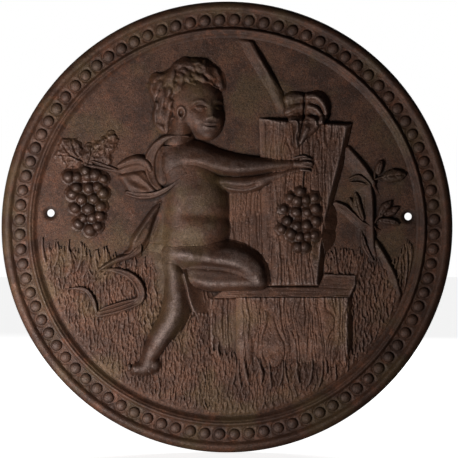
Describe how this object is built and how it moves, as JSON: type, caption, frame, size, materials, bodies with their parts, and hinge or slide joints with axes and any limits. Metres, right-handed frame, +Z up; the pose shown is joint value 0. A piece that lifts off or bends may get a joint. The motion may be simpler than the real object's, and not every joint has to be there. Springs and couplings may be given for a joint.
{
  "type": "round cast-iron fireback",
  "caption": "Round cast-iron fireback: flat plate, beaded moulding and raised scene of a child with grapes beside a board and block in grass; two fixing holes.",
  "frame": {"origin": "centre of the disc's flat back face", "axes": "+Y out of the back face towards the chimney wall, -Y towards the room, +X right as seen from the room, +Z up"},
  "size_m": [0.45, 0.024, 0.45],
  "materials": {
    "field_iron": "rust-brown waxed cast iron",
    "rim_iron": "rust-brown waxed cast iron",
    "relief_iron": "rust-brown cast iron, rubbed grey on its high places"
  },
  "bodies": {
    "root": {"back_plate": "field_iron", "rim_moulding": "rim_iron", "bead_row_1": "rim_iron", "bead_row_2": "rim_iron", "bead_row_3": "rim_iron", "bead_row_4": "rim_iron", "grass_left": "relief_iron", "grass_right": "relief_iron", "grass_front": "relief_iron", "board": "relief_iron", "plank": "relief_iron", "block_front": "relief_iron", "block_side": "relief_iron", "block_top": "relief_iron", "vine_leaf": "relief_iron", "vine_branch": "relief_iron", "near_hand": "relief_iron", "near_arm": "relief_iron", "hair": "relief_iron", "shoulder_sash": "relief_iron", "head": "relief_iron", "underarm_sash": "relief_iron", "thigh": "relief_iron", "calf": "relief_iron", "torso": "relief_iron", "far_arm": "relief_iron", "standing_leg": "relief_iron", "standing_foot": "relief_iron", "kneeling_foot": "relief_iron", "sash_knot": "relief_iron", "sash_fall": "relief_iron", "sash_turn": "relief_iron", "sash_loop": "relief_iron", "sash_end": "relief_iron", "left_grapes": "relief_iron", "left_leaf_outer": "relief_iron", "left_leaf_inner": "relief_iron", "left_leaf_small": "relief_iron", "left_stem": "relief_iron", "held_grapes": "relief_iron", "held_stem": "relief_iron", "sprig_stem": "relief_iron", "sprig_twig": "relief_iron", "sprig_branch": "relief_iron", "sprig_blade": "relief_iron", "sprig_tail": "relief_iron", "sprig_leaf_bud": "relief_iron", "sprig_leaf_top": "relief_iron", "sprig_leaf_left": "relief_iron", "sprig_leaf_right": "relief_iron", "sprig_leaf_low": "relief_iron"}
  },
  "joints": []
}
